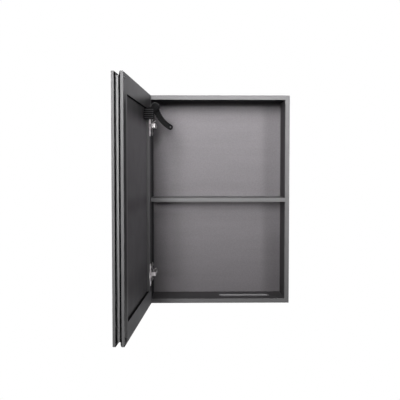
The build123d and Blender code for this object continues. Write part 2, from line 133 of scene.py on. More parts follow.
class CabinetSizes(bpy.types.PropertyGroup):
    """Sizes of the pieces."""

    board: length("Board", "Thickness of the carcass boards", 0.014)
    edge_round: length("Edge round", "Radius of the lacquered edges", 0.001)
    groove_play: length("Groove play", "Room round the back panel in its grooves", 0.0042)
    slot_centre: pair("Slot centre", "Middle of the tissue slot", (0.086, -0.073))
    slot_length: length("Slot length", "Length of the tissue slot", 0.162)
    slot_width: length("Slot width", "Width of the tissue slot", 0.029)
    door_width: length("Door width", "Width of the door", 0.446)
    door_thickness: length("Door thickness", "Thickness of the door", 0.029)
    pin_from_edge: length("Pin from edge", "Distance of the hinge pins from the door's edge", 0.0065)
    pin_depth: length("Pin depth", "Distance of the hinge pins from the door's rear face", 0.007)
    frame_margin: length("Frame margin", "Width of the door frame's rear face", 0.048)
    lip_round: length("Lip round", "Radius of the door frame's edges", 0.0006)
    groove_reach: length("Groove reach", "How far in from the door's edge the groove is black", 0.0093)
    groove_lip: length("Groove lip", "Thickness of the lips beside the black of the groove", 0.0065)
    glass_arris: length("Glass arris", "Ground edge of the mirror glass", 0.0008)
    metal_round: length("Metal round", "Radius on the pressed hinge metal", 0.0003)
    mould_round: length("Mould round", "Radius on the moulded guide", 0.0005)
    cup_radius: length("Cup radius", "Radius of the hinge cup", 0.0174)
    cup_depth: length("Cup depth", "Depth of the hinge cup", 0.0115)
    cup_wall: length("Cup wall", "Sheet thickness of the hinge cup", 0.001)
    cup_rim: length("Cup rim", "How far the cup's rim laps over the door", 0.0008)
    cup_middle: length("Cup middle", "Distance of the cup's middle from the hinge pin", 0.0143)
    flange_width: length("Flange width", "Width of the cup's flange", 0.019)
    flange_height: length("Flange height", "Height of the cup's flange", 0.069)
    flange_sheet: length("Flange sheet", "Thickness of the cup's flange", 0.0012)
    cup_screws: length("Cup screws", "Distance between the two screws of a cup", 0.048)
    screw_head: length("Screw head", "Radius of the screw heads", 0.0036)
    foot_screw: length("Foot screw", "Radius of the heads of the guide's foot screws", 0.0026)
    foot_spread: length("Foot spread", "Distance between the guide's foot screws", 0.015)
    foot_place: point("Foot", "Middle of the guide's foot on the shut door", (0.0685, 0.00345, -0.023))
    hanger_screw: length("Hanger screw", "Radius of the heads of a hanger's screws", 0.003)
    hanger_spread: length("Hanger spread", "Distance between the screws of a hanger", 0.03)
    bumper_round: length("Bumper round", "Radius on the door bumpers", 0.0011)


class CabinetStage(bpy.types.PropertyGroup):
    """Camera, lamps and backdrop."""

    camera_place: point("Camera", "Where the camera stands", (-0.0651, -1.924, -0.1838))
    camera_turn: angle("Turn", "How far the camera looks to the right", 0.01393)
    camera_pitch: angle("Pitch", "How far the camera looks down", 0.04088)
    camera_shift: declares(FloatVectorProperty, size=2)("Shift", "Framing of the picture", (-0.01325, -0.01914))
    lens: number("Lens", "Focal length in millimetres", 51.91)
    foot_key: lamp_values("Foot key", (-14, -2, -7, 0.5, 0.3, 1.3))
    low_key: lamp_values("Low key", (-11, 7, 6, 0.5, 0.38, 2.2))
    middle_key: lamp_values("Middle key", (-10, 16, 9.5, 0.45, 0.75, 4.3))
    high_key: lamp_values("High key", (-10, 30, 9.5, 0.45, 0.6, 1.75))
    side_lamp: lamp_values("Side", (31, 8, 6, 0.5, 0.8, 2.3))
    edge_lamp: lamp_values("Edge", (-47, -4, -5, 0.4, 0.4, 0.7))
    door_lamp: lamp_values("Door", (72, 8, 12, 0.5, 0.5, 3.0))
    rear_lamp: lamp_values("Rear", (200, 10, 4, 0.8, 0.8, 8.0))
    lamp_reach: length("Lamp reach", "Distance of the lamps", 3.5)
    lamp_centre: point("Lamp centre", "Spot that the lamps stand round", (0, -0.1, -0.05))
    lamp_spread: angle("Lamp spread", "Angle of the lamps' light", radians(36))
    fill_level: number("Fill", "Level of the light from all round", 0.03)
    sheet_size: length("Sheet size", "Width of the floor and of the backdrop", 12)
    floor_place: point("Floor", "Middle of the floor", (0, 2.5, -1.3))
    backdrop_place: point("Backdrop", "Middle of the backdrop", (0, 3.6, 3))
    paper: colour("Paper", "Paper of the floor and the backdrop", (0.86, 0.86, 0.86))


def deselect():
    if bpy.context.object and bpy.context.object.mode != "OBJECT":
        bpy.ops.object.mode_set(mode="OBJECT")
    bpy.ops.object.select_all(action="DESELECT")


def take(piece):
    """Makes a piece the only selected one."""
    deselect()
    piece.select_set(True)
    bpy.context.view_layer.objects.active = piece


def settle(piece):
    """Moves a piece's place, turn and scale into its mesh."""
    take(piece)
    bpy.ops.object.transform_apply(location=True, rotation=True, scale=True)
    return piece


def block(low, high):
    """A cube drawn out between two corners."""
    deselect()
    low, high = Vector(low), Vector(high)
    bpy.ops.mesh.primitive_cube_add(size=1, location=(low + high) / 2, scale=high - low)
    return settle(bpy.context.object)


def rod(start, end, radius, sides):
    """A round bar between two points."""
    deselect()
    turn = (end - start).to_track_quat("Z", "Y").to_euler()
    bpy.ops.mesh.primitive_cylinder_add(
        vertices=sides, radius=radius, depth=(end - start).length, location=(start + end) / 2, rotation=turn,
    )
    return settle(bpy.context.object)


def ring(centre, radius, wire):
    """A level ring of round wire."""
    deselect()
    bpy.ops.mesh.primitive_torus_add(
        major_radius=radius, minor_radius=wire, major_segments=wire_sides, minor_segments=8, location=centre,
    )
    return settle(bpy.context.object)


def edit(piece, kind="FACE"):
    take(piece)
    bpy.ops.object.mode_set(mode="EDIT")
    bpy.ops.mesh.select_mode(type=kind)
    bpy.ops.mesh.select_all(action="DESELECT")


def pick(piece, wanted, kind="faces"):
    """Selects the faces or edges that pass a test."""
    shape = bmesh.from_edit_mesh(piece.data)
    shape.normal_update()
    chosen = [part for part in getattr(shape, kind) if wanted(part)]
    for part in chosen:
        part.select_set(True)
    bmesh.update_edit_mesh(piece.data)
    if not chosen:
        raise RuntimeError(f"{piece.name}: nothing to select")


def runs(direction):
    """A test for edges that run along a direction."""
    return lambda edge: abs((edge.verts[1].co - edge.verts[0].co).normalized().dot(direction)) > parallel


def beyond(direction, reach):
    """A test for edges that lie farther along a direction than a reach."""
    return lambda edge: min(corner.co.dot(direction) for corner in edge.verts) > reach


def outer_edge(edge, least=radians(25)):
    """True for an edge that stands proud and is sharper than the given angle."""
    return len(edge.link_faces) == 2 and edge.calc_face_angle_signed(0) > least


def round_edges(piece, width, steps=3, wanted=outer_edge):
    """Rounds the edges that pass the test."""
    edit(piece, "EDGE")
    pick(piece, wanted, "edges")
    bpy.ops.mesh.bevel(offset=width, offset_type="OFFSET", segments=steps, affect="EDGES", clamp_overlap=True)
    deselect()


def apply_modifier(piece, kind, **settings):
    take(piece)
    modifier = piece.modifiers.new(kind.lower(), kind)
    for name, value in settings.items():
        setattr(modifier, name, value)
    bpy.ops.object.modifier_apply(modifier=modifier.name)


def carve(piece, cutter, operation="DIFFERENCE"):
    """Cuts a shape out of a piece, or joins it on, and removes the shape."""
    apply_modifier(piece, "BOOLEAN", object=cutter, operation=operation, solver="EXACT")
    bpy.data.objects.remove(cutter)


def join(pieces, name):
    take(pieces[0])
    for piece in pieces:
        piece.select_set(True)
    bpy.ops.object.join()
    pieces[0].name = name
    return pieces[0]


def smooth(piece, angle=radians(40)):
    take(piece)
    bpy.ops.object.shade_smooth_by_angle(angle=angle)
    apply_modifier(piece, "WEIGHTED_NORMAL", keep_sharp=True, weight=80)
    return piece


def copy_piece(piece, name, offset=(0, 0, 0)):
    """A copy with its own mesh, moved by an offset."""
    twin = piece.copy()
    twin.data = piece.data.copy()
    twin.name = name
    for key in [key for key in twin.keys() if key.startswith("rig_")]:
        del twin[key]
    twin.parent = None
    twin.hide_render = twin.hide_viewport = False
    bpy.context.collection.objects.link(twin)
    twin.location = offset
    return settle(twin)


def soft_copy(node, name, width, steps=2, least=radians(30)):
    """A copy of a node with its triangles merged and its outer edges rounded."""
    twin = copy_piece(frame["nodes"][node], name)
    twin.data.materials.clear()
    edit(twin)
    bpy.ops.mesh.select_all(action="SELECT")
    bpy.ops.mesh.remove_doubles(threshold=merge_reach)
    bpy.ops.mesh.dissolve_limited(angle_limit=radians(1))
    deselect()
    round_edges(twin, width, steps, lambda edge: outer_edge(edge, least))
    return smooth(twin)


def on_door(piece):
    """Turns a piece drawn on the shut door to where the door stands."""
    piece.matrix_world = door_place @ piece.matrix_world
    return settle(piece)


def coat(piece, material):
    """Makes a finish the only one on a piece."""
    piece.data.materials.clear()
    piece.data.materials.append(finish(material))


def dress(piece, body, slot, material, *nodes):
    """Gives a piece its finish, hangs it on the empty of what carries it and hides the nodes that it stands for."""
    coat(piece, material)
    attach(piece, body)
    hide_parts(*nodes)


def second_finish(piece, material, wanted):
    """Gives the faces that pass the test another finish."""
    piece.data.materials.append(finish(material))
    for face in piece.data.polygons:
        if wanted(face):
            face.material_index = len(piece.data.materials) - 1


def put(tree, kind, feeds=(), **settings):
    """Adds a node. A feed that is a socket is linked, any other is set as a value or a plain colour."""
    node = tree.nodes.new(kind)
    for name, value in settings.items():
        setattr(node, name, value)
    for key, value in dict(feeds).items():
        socket = node.inputs[key]
        if isinstance(value, bpy.types.NodeSocket):
            tree.links.new(value, socket)
        else:
            socket.default_value = (*value, 1) if socket.type == "RGBA" else value
    return node


def sums(tree, operation, first, *others):
    """Works out one operation over two or more values in turn."""
    for other in others:
        first = put(tree, "ShaderNodeMath", {0: first, 1: other}, operation=operation).outputs[0]
    return first


def times(tree, *factors):
    return sums(tree, "MULTIPLY", *factors)


def vectors(tree, operation, first, second, result="Vector"):
    return put(tree, "ShaderNodeVectorMath", {0: first, 1: second}, operation=operation).outputs[result]


def scaled(tree, tone, level):
    """A colour made lighter or darker by a level."""
    return put(tree, "ShaderNodeVectorMath", {0: tone, "Scale": level}, operation="SCALE").outputs[0]


def within(tree, value, middle, reach):
    """1 where a value lies no farther from the middle than the reach, and 0 elsewhere."""
    return put(tree, "ShaderNodeMath", {0: value, 1: middle, 2: reach}, operation="COMPARE").outputs[0]


def fade(tree, value, none, full):
    """Rises smoothly from 0 to 1 between two values."""
    span = {"Value": value, "From Min": none, "From Max": full}
    return put(tree, "ShaderNodeMapRange", span, interpolation_type="SMOOTHSTEP").outputs[0]


def blend_colours(tree, factor, first, second):
    """The first colour where the factor is 0, the second where it is 1."""
    return put(tree, "ShaderNodeMix", {0: factor, 6: first, 7: second}, data_type="RGBA").outputs[2]


def new_group(name, ways_in, ways_out):
    """A node group that has its sockets and nothing between them."""
    group = bpy.data.node_groups.new(name, "ShaderNodeTree")
    kinds = {"Vector": "NodeSocketVector", "Colour": "NodeSocketColor"}
    for side, labels in (("INPUT", ways_in), ("OUTPUT", ways_out)):
        for label in labels:
            group.interface.new_socket(name=label, in_out=side, socket_type=kinds.get(label, "NodeSocketFloat"))
    return group, group.nodes.new("NodeGroupInput").outputs, group.nodes.new("NodeGroupOutput").inputs


def varied(group, given, value, low=0, high=1):
    """The group's colour, darker or lighter by its amount as a value goes from low to high."""
    level = put(group, "ShaderNodeMapRange", {
        "Value": value, "From Min": low, "From Max": high,
        "To Min": sums(group, "SUBTRACT", 1, given["Amount"]), "To Max": sums(group, "ADD", 1, given["Amount"]),
    })
    return scaled(group, given["Colour"], level.outputs[0])


def tone_drift(name):
    """Slow changes of a colour over a surface."""
    group, given, result = new_group(name, ("Vector", "Colour", "Scale", "Amount"), ("Colour",))
    noise = put(group, "ShaderNodeTexNoise", {"Vector": given["Vector"], "Scale": given["Scale"], "Detail": 3})
    group.links.new(varied(group, given, noise.outputs["Fac"], 0.3, 0.7), result["Colour"])
    return group


def fine_grain(name):
    """Fine even grain, as a height and as a roughness that varies with it."""
    group, given, result = new_group(name, ("Vector", "Scale", "Roughness", "Spread"), ("Height", "Roughness"))
    slow_scale, slow_strength = 0.03, 4
    coarse = put(group, "ShaderNodeTexNoise", {"Vector": given["Vector"], "Scale": given["Scale"], "Detail": 2})
    slow = put(group, "ShaderNodeTexNoise", {
        "Vector": given["Vector"], "Scale": times(group, given["Scale"], slow_scale), "Detail": 4,
    })
    middle = sums(group, "SUBTRACT", slow.outputs["Fac"], 0.5)
    drift = times(group, middle, slow_strength, given["Spread"])
    group.links.new(coarse.outputs["Fac"], result["Height"])
    group.links.new(sums(group, "ADD", given["Roughness"], drift), result["Roughness"])
    return group


def pressed_chips(name):
    """Pressed chips or fibres: flat cells of uneven tone."""
    group, given, result = new_group(name, ("Vector", "Colour", "Scale", "Amount"), ("Colour", "Height"))
    cells = put(group, "ShaderNodeTexVoronoi", {"Vector": given["Vector"], "Scale": given["Scale"]})
    tone = put(group, "ShaderNodeSeparateColor", {"Color": cells.outputs["Color"]}).outputs[0]
    group.links.new(varied(group, given, tone), result["Colour"])
    group.links.new(tone, result["Height"])
    return group


make_group = {"tone_drift": tone_drift, "fine_grain": fine_grain, "pressed_chips": pressed_chips}


class Finish:
    """A node material under way: its tree, its shader and the place on the piece."""

    def __init__(self, name, metallic=0.0, specular=0.5, stretch=(1, 1, 1)):
        self.material = bpy.data.materials.new(name)
        self.material.use_nodes = True
        self.tree = self.material.node_tree
        self.shader = self.tree.nodes["Principled BSDF"].inputs
        self.shader["Metallic"].default_value = metallic
        self.shader["Specular IOR Level"].default_value = specular
        place = put(self.tree, "ShaderNodeTexCoord").outputs["Object"]
        self.plain_place = place
        self.place = put(self.tree, "ShaderNodeMapping", {"Vector": place, "Scale": stretch}).outputs[0]

    def effect(self, name, **values):
        """Places a shared effect, with its own values."""
        group = bpy.data.node_groups.get(name) or make_group[name](name)
        return put(self.tree, "ShaderNodeGroup", {"Vector": self.place, **values}, node_tree=group).outputs

    def along(self, axis):
        """How far a spot lies along X, Y or Z."""
        return put(self.tree, "ShaderNodeSeparateXYZ", {0: self.plain_place}).outputs[axis]

    def along_door(self, axis):
        """How far a spot lies from the hinge pin along one of the shut door's axes."""
        axis = door_place.to_3x3() @ axis
        spot = vectors(self.tree, "DOT_PRODUCT", self.plain_place, axis, "Value")
        return sums(self.tree, "SUBTRACT", spot, pin.dot(axis))

    def paint(self, base, scale=9.0, amount=0.035, place=None):
        """A base colour with slow changes of tone."""
        place = place or self.place
        return self.effect("tone_drift", Vector=place, Colour=base, Scale=scale, Amount=amount)["Colour"]

    def shaded(self, base, shade):
        """A base colour that is a tenth as light where the shade is 1."""
        dark = tuple(0.1 * part for part in base)
        return blend_colours(self.tree, shade, self.paint(base), self.paint(dark))

    def end(self, base, roughness, grain=700, spread=0.04, bump=0.12, depth=0.0002, height=None):
        """Links the colour, the roughness and the bump to the shader."""
        fine = self.effect("fine_grain", Scale=grain, Roughness=roughness, Spread=spread)
        self.tree.links.new(base, self.shader["Base Color"])
        self.tree.links.new(fine["Roughness"], self.shader["Roughness"])
        relief = put(self.tree, "ShaderNodeBump", {
            "Strength": bump, "Distance": depth, "Height": fine["Height"] if height is None else height,
        })
        self.tree.links.new(relief.outputs[0], self.shader["Normal"])


# Shade that the photo shows on the door's rear. Metres of height, or along the door from the hinge pin. A span goes
# from where there is no shade to where it is full.
hinge_span, stile_end = (0.0175, 0.0095), 0.04
guide_span, guide_slope, on_top_rail = (0.05, 0.024), 0.14, (0.02, 0.025)
corner_spot, corner_span = (0.012, 0.002, 0), (0.052, 0.024)
end_span, end_drop = (0.3955, 0.4135), (0.01, -0.035)
rail_span, rail_strength, rail_loss = (-0.074, -0.026), 1.05, 0.7
band_height, band_span, band_strength = -0.28, (0.035, 0), 0.33
foot_span, foot_strength = (-0.43, -0.5), 0.45
strip_middle, strip_half = -0.009, 0.0027


def rear_lacquer(name, colours):
    """Lacquer of the door's rear, with painted shade by the hinges, the guide and the free edge."""
    skin = Finish(name, specular=0.12)
    tree = skin.tree
    along, height = skin.along_door(X), skin.along("Z")
    on_stile = within(tree, height, mid_height, half_height - stile_end)
    by_hinge = times(tree, fade(tree, along, *hinge_span), on_stile)
    slanted = sums(tree, "ADD", height, times(tree, along, guide_slope))
    by_guide = times(tree, fade(tree, slanted, *guide_span), within(tree, height, *on_top_rail))
    spot = put(tree, "ShaderNodeCombineXYZ", {"X": along, "Y": height}).outputs[0]
    by_corner = fade(tree, vectors(tree, "DISTANCE", spot, corner_spot, "Value"), *corner_span)
    by_end = times(tree, fade(tree, along, *end_span), fade(tree, height, *end_drop))
    shade = sums(tree, "MAXIMUM", by_end, by_hinge, by_guide, by_corner)
    skin.end(skin.shaded(colours.rear_frame, shade), 0.6)


def cover_foil(name, colours):
    """Foil of the door's rear cover, with painted shade below the top rail, in a band at mid height and at the
    bottom.
    """
    foil = Finish(name, specular=0.12)
    tree = foil.tree
    along, height = foil.along_door(X), foil.along("Z")
    strength = sums(tree, "SUBTRACT", rail_strength, times(tree, along, rail_loss))
    below_rail = times(tree, fade(tree, height, *rail_span), sums(tree, "MINIMUM", strength, 1))
    from_band = sums(tree, "SUBTRACT", height, band_height)
    off_band = put(tree, "ShaderNodeMath", {0: from_band}, operation="ABSOLUTE").outputs[0]
    on_band = times(tree, fade(tree, off_band, *band_span), band_strength)
    at_foot = times(tree, fade(tree, height, *foot_span), foot_strength)
    foil.end(foil.shaded(colours.cover, sums(tree, "MAXIMUM", below_rail, on_band, at_foot)), 0.6)


def groove_skin(name, colours):
    """Near-black groove walls with a light strip along the floor, partly painted light on the groove's shaded floor.
    """
    skin = Finish(name, specular=0.05)
    strip = within(skin.tree, skin.along_door(Y), strip_middle, strip_half)
    wall, floor = skin.paint(colours.groove_wall), skin.paint(colours.groove_strip)
    skin.end(blend_colours(skin.tree, strip, wall, floor), 0.8)


# Painted light and shade over the back panel, darker under the top and lighter or darker in patches lower down: how
# much each adds, then per axis where it is none and where it is full.
back_painted_gradients = (
    (-0.5, ("Z", 0.016, 0.028)),
    (-0.24, ("Z", -0.018, 0.012)),
    (0.19, ("X", -0.125, -0.165), ("X", -0.212, -0.196), ("Z", -0.07, -0.12)),
    (-0.2, ("X", 0.14, 0.2), ("Z", -0.32, -0.45)),
    (0.25, ("X", -0.09, -0.16), ("Z", -0.53, -0.575)),
    (0.22, ("X", 0.19, 0.12), ("Z", -0.33, -0.3), ("Z", -0.28, -0.29)),
    (0.6, ("X", -0.04, -0.17), ("Z", -0.335, -0.3), ("Z", -0.28, -0.29)),
)


def painted_back_level(foil):
    """How light the painted light and shade leave the back panel's foil at a spot, 1 in the open."""
    place = put(foil.tree, "ShaderNodeSeparateXYZ", {0: foil.plain_place}).outputs
    level = 1
    for amount, *spans in back_painted_gradients:
        fades = [fade(foil.tree, place[axis], none, full) for axis, none, full in spans]
        level = sums(foil.tree, "ADD", level, times(foil.tree, amount, *fades))
    return level


# Shade behind the upper hinge and behind the guide's eye: X, Z, stretch, where none, where full, how much.
back_shades = (
    (-0.209, -0.047, 2.2, 0.09, 0.025, 0.55),
    (-0.166, -0.05, 1.0, 0.036, 0.006, 0.28),
)


def back_light(foil):
    """How much light the shades behind the upper hinge and the guide leave, 1 in the open."""
    light = 1
    for x, z, stretch, none, full, much in back_shades:
        spot = vectors(foil.tree, "MULTIPLY", foil.plain_place, (stretch, 0, 1))
        reach = vectors(foil.tree, "DISTANCE", spot, (stretch * x, 0, z), "Value")
        shade = times(foil.tree, fade(foil.tree, reach, none, full), much)
        light = times(foil.tree, light, sums(foil.tree, "SUBTRACT", 1, shade))
    return light


def graphite_foil(name, colours):
    """Foil with fine level streaks and painted light and shade in front, bare fibreboard behind."""
    foil = Finish(name, specular=0.12, stretch=(0.12, 1, 1))
    streaks = put(foil.tree, "ShaderNodeTexNoise", {"Vector": foil.place, "Scale": 1400, "Detail": 2})
    front = foil.paint(foil.paint(colours.back, 40, 0.03), 260, 0.07, foil.plain_place)
    front = scaled(foil.tree, front, times(foil.tree, painted_back_level(foil), back_light(foil)))
    fibre = foil.effect("pressed_chips", Vector=foil.plain_place, Colour=colours.fibre, Scale=900, Amount=0.18)
    behind = sums(foil.tree, "GREATER_THAN", foil.along("Y"), (back_low.y + 3 * back_high.y) / 4)
    base = blend_colours(foil.tree, behind, front, fibre["Colour"])
    foil.end(base, 0.55, grain=1400, bump=0.15, height=streaks.outputs["Fac"])


def raw_board(name, colours):
    """Grey pressed chips."""
    bare = Finish(name, specular=0.2)
    chips = bare.effect("pressed_chips", Colour=colours.chipboard, Scale=420, Amount=0.28)
    bare.end(chips["Colour"], 0.8, grain=900, bump=0.25, depth=0.0003, height=chips["Height"])


def birch_ply(name, colours):
    """Thin plies with the grain along the tongue."""
    ply = Finish(name, specular=0.25, stretch=(1, 0.1, 1))
    layers = {"Vector": ply.plain_place, "Scale": 310, "Distortion": 0.4}
    plies = put(ply.tree, "ShaderNodeTexWave", layers, bands_direction="Z")
    grain = ply.paint(colours.birch, 500, 0.12)
    dark = ply.paint(tuple(0.6 * part for part in colours.birch), 500, 0.1)
    ply.end(blend_colours(ply.tree, plies.outputs["Fac"], dark, grain), 0.7, grain=1200, bump=0.2)


def nylon(colour_name, specular):
    """Spark-eroded moulded plastic."""
    def make(name, colours):
        skin = Finish(name, specular=specular)
        pits = put(skin.tree, "ShaderNodeTexVoronoi", {"Vector": skin.place, "Scale": 2600}, feature="SMOOTH_F1")
        base = skin.paint(getattr(colours, colour_name), 120, 0.1)
        skin.end(base, 0.5, grain=900, bump=0.25, depth=0.0001, height=pits.outputs["Distance"])
    return make


def plain(colour_name, roughness, tone=(9, 0.035), look=(), **grain):
    """A finish of one colour. Its tone is the scale and the amount of the colour's slow changes."""
    def make(name, colours):
        skin = Finish(name, **dict(look))
        skin.end(skin.paint(getattr(colours, colour_name), *tone), roughness, **grain)
    return make


def plated(colour_name, roughness, metallic=1, scratch=(0.08, 1, 1), spread=0.06):
    """Plated metal with fine drawn lines and patches of uneven gloss."""
    look = {"metallic": metallic, "stretch": scratch}
    return plain(colour_name, roughness, (60, 0.03), look, grain=2600, spread=spread, bump=0.05)


make_finish = {
    "graphite_lacquer": plain("board", 0.7, look={"specular": 0.12}),
    "floor_foil": plain("inner_floor", 0.8, look={"specular": 0.05}),
    "cut_edge": plain("cut_edge", 0.6, look={"specular": 0.2}),
    "wall_foil": plain("inner_wall", 0.8, look={"specular": 0.05}),
    "shade_foil": plain("inner_shade", 0.85, look={"specular": 0.03}),
    "groove_black": plain("groove_wall", 0.8, look={"specular": 0.05}),
    "zinc_plate": plated("zinc", 0.45, scratch=(1, 1, 1), spread=0.1),
    "bright_nickel": plated("nickel", 0.34),
    "cup_nickel": plated("cup", 0.36, 0.6),
    "plate_nickel": plated("plate", 0.42),
    "mirror_silver": plain("silver", 0.02, (3, 0.006), {"metallic": 1}, grain=30, spread=0.004, bump=0.002),
    "glass_edge": plain("glass", 0.22, (40, 0.08), {"specular": 0.6}, grain=2400, bump=0.05),
    "soft_bumper": plain("bumper", 0.7, (200, 0.05), {"specular": 0.1}, grain=1500, bump=0.05),
    "black_nylon": nylon("nylon", 0.04),
    "rubbed_nylon": nylon("rib", 0.2),
}
for maker in (rear_lacquer, cover_foil, groove_skin, graphite_foil, raw_board, birch_ply):
    make_finish[maker.__name__] = maker


def finish(name):
    """A finish by its name, made the first time it is asked for."""
    if name not in bpy.data.materials:
        make_finish[name](name, bpy.context.scene.cabinet_finish)
    return bpy.data.materials[name]


class CABINET_OT_stage(bpy.types.Operator):
    """Sets up the backdrop, the lamps and the camera"""

    bl_idname = "cabinet.stage"
    bl_label = "Stage"

    def execute(self, context):
        stage = context.scene.cabinet_stage
        paper = bpy.data.materials.new("backdrop_paper")
        paper.use_nodes = True
        tree = paper.node_tree
        shader = tree.nodes["Principled BSDF"]
        shader.inputs["Base Color"].default_value = (*stage.paper, 1)
        shader.inputs["Roughness"].default_value = 0.9
        mix = put(tree, "ShaderNodeMixShader", {
            0: self.seen(tree), 1: shader.outputs[0], 2: put(tree, "ShaderNodeEmission").outputs[0],
        })
        tree.links.new(mix.outputs[0], tree.nodes["Material Output"].inputs["Surface"])
        for name, place, tilt in (("floor", stage.floor_place, 0), ("backdrop", stage.backdrop_place, pi / 2)):
            deselect()
            bpy.ops.mesh.primitive_plane_add(size=stage.sheet_size, location=place, rotation=(tilt, 0, 0))
            sheet = context.object
            sheet.name = name
            sheet.data.materials.append(paper)
        for name in (
            "foot_key", "low_key", "middle_key", "high_key", "side_lamp", "edge_lamp", "door_lamp", "rear_lamp",
        ):
            self.lamp(stage, name)

        world = bpy.data.worlds.new("studio")
        context.scene.world = world
        world.use_nodes = True
        tree = world.node_tree
        level = put(tree, "ShaderNodeMapRange", {"Value": self.seen(tree), "To Min": stage.fill_level, "To Max": 1.0})
        tree.links.new(level.outputs[0], tree.nodes["Background"].inputs["Strength"])
        tree.nodes["Background"].inputs["Color"].default_value = (1, 1, 1, 1)

        turn = (pi / 2 - stage.camera_pitch, 0, -stage.camera_turn)
        bpy.ops.object.camera_add(location=stage.camera_place, rotation=turn)
        camera = context.object
        camera.name = "camera"
        camera.data.lens = stage.lens
        camera.data.shift_x, camera.data.shift_y = stage.camera_shift
        context.scene.camera = camera
        context.scene.view_settings.view_transform = "Standard"
        return {"FINISHED"}

    def seen(self, tree):
        """1 for what the eye sees straight, in metal or through glass, and 0 for what only lights."""
        path = put(tree, "ShaderNodeLightPath").outputs
        return sums(tree, "MAXIMUM", path["Is Camera Ray"], path["Is Glossy Ray"], path["Is Transmission Ray"])

    def lamp(self, stage, name):
        """A soft lamp that stands off from the cabinet and faces it."""
        *angles, width, height, power = getattr(stage, name)
        azimuth, elevation, aim = map(radians, angles)
        lamp = bpy.data.lights.new(name, "AREA")
        lamp.shape = "RECTANGLE"
        lamp.size, lamp.size_y, lamp.energy, lamp.spread = width, height, power, stage.lamp_spread
        holder = bpy.data.objects.new(name, lamp)
        holder.visible_camera = False
        bpy.context.collection.objects.link(holder)
        level = stage.lamp_reach * cos(elevation)
        holder.location = Vector(stage.lamp_centre) + Vector(
            (level * sin(azimuth), -level * cos(azimuth), stage.lamp_reach * sin(elevation))
        )
        holder.rotation_euler = (pi / 2 - elevation + aim, 0, azimuth)


slot_finishes = {
    "carcass_board": "graphite_lacquer",
    "door_frame": "graphite_lacquer",
    "back_board": "graphite_foil",
    "door_cover": "cover_foil",
    "rail_board": "raw_board",
    "tongue_ply": "birch_ply",
    "zinc_fitting": "zinc_plate",
    "hinge_nickel": "bright_nickel",
    "mirror": "mirror_silver",
    "bumper_rubber": "soft_bumper",
    "guide_black": "black_nylon",
}


class CABINET_OT_nodes(bpy.types.Operator):
    """Gives the nodes that stay their finishes"""

    bl_idname = "cabinet.nodes"
    bl_label = "Finishes of the nodes"

    def execute(self, context):
        for row in frame["record"]["subparts"]:
            coat(frame["nodes"][row["node"]], slot_finishes[row["material_slot"]])
        return {"FINISHED"}


class CABINET_OT_carcass(bpy.types.Operator):
    """Builds the lacquered carcass with its slot, and the shelf"""

    bl_idname = "cabinet.carcass"
    bl_label = "Carcass and shelf"

    def execute(self, context):
        sizes = context.scene.cabinet_sizes
        shell = block(carcass_low, carcass_high)
        shell.name = "carcass_shell"
        edit(shell)
        pick(shell, lambda face: abs(face.normal.y) > squarely)
        bpy.ops.mesh.inset(thickness=sizes.board, use_individual=True)
        bpy.ops.mesh.delete(type="FACE")
        bpy.ops.mesh.select_mode(type="EDGE")
        pick(shell, lambda edge: edge.is_boundary, "edges")
        bpy.ops.mesh.bridge_edge_loops()
        deselect()
        round_edges(shell, sizes.edge_round)
        centre = Vector((*sizes.slot_centre, carcass_low.z + sizes.board / 2))
        half = Vector((sizes.slot_length, sizes.slot_width, 2 * sizes.board)) / 2
        cutter = block(centre - half, centre + half)
        round_edges(cutter, half.y - merge_reach, 16, runs(Z))
        carve(shell, cutter)
        deep = sizes.board - sizes.groove_play
        groove_low = (carcass_low.x + deep, back_low.y, carcass_low.z + deep)
        groove_high = (carcass_high.x - deep, back_high.y, carcass_high.z - deep)
        carve(shell, block(groove_low, groove_high))

        def off_slot(spot):
            """How far a spot lies beside the slot's box, less than 0 inside it."""
            return max(abs(spot.x - centre.x) - half.x, abs(spot.y - centre.y) - half.y)

        def slot_rim(edge):
            first, second = (corner.co for corner in edge.verts)
            level = abs(first.z - second.z) < merge_reach
            return level and off_slot((first + second) / 2) < near and outer_edge(edge, radians(60))

        round_edges(shell, sizes.edge_round, 3, slot_rim)
        smooth(shell)
        dress(
            shell, "cabinet", "carcass_board", "graphite_lacquer",
            "left_side_panel", "right_side_panel", "top_panel", "bottom_panel",
        )
        clear = Vector((sizes.board, 0, sizes.board))
        low, high = carcass_low + clear, carcass_high - clear

        def inner(face):
            spot = face.center
            flat = max(abs(face.normal.x), abs(face.normal.z)) > squarely
            room = min(spot.x - low.x, high.x - spot.x, spot.z - low.z, high.z - spot.z)
            return flat and abs(room) < near

        def in_slot(face):
            return off_slot(face.center) < 2 * sizes.edge_round and face.center.z < centre.z + half.z

        # Painted light on the slot's wall.
        second_finish(shell, "cut_edge", in_slot)
        # Painted shade on the inner faces, darkest on the left wall and under the top.
        second_finish(shell, "floor_foil", lambda face: inner(face) and face.normal.z > roughly)
        second_finish(shell, "wall_foil", lambda face: inner(face) and face.normal.x < -roughly)
        second_finish(shell, "shade_foil", lambda face: inner(face) and min(face.normal.z, -face.normal.x) < -roughly)
        shelf = block(*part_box("shelf"))
        shelf.name = "shelf_board"
        round_edges(shelf, sizes.edge_round, 3, beyond(-Y, -carcass_low.y - sizes.board))
        smooth(shelf)
        dress(shelf, "cabinet", "carcass_board", "graphite_lacquer", "shelf")
        return {"FINISHED"}


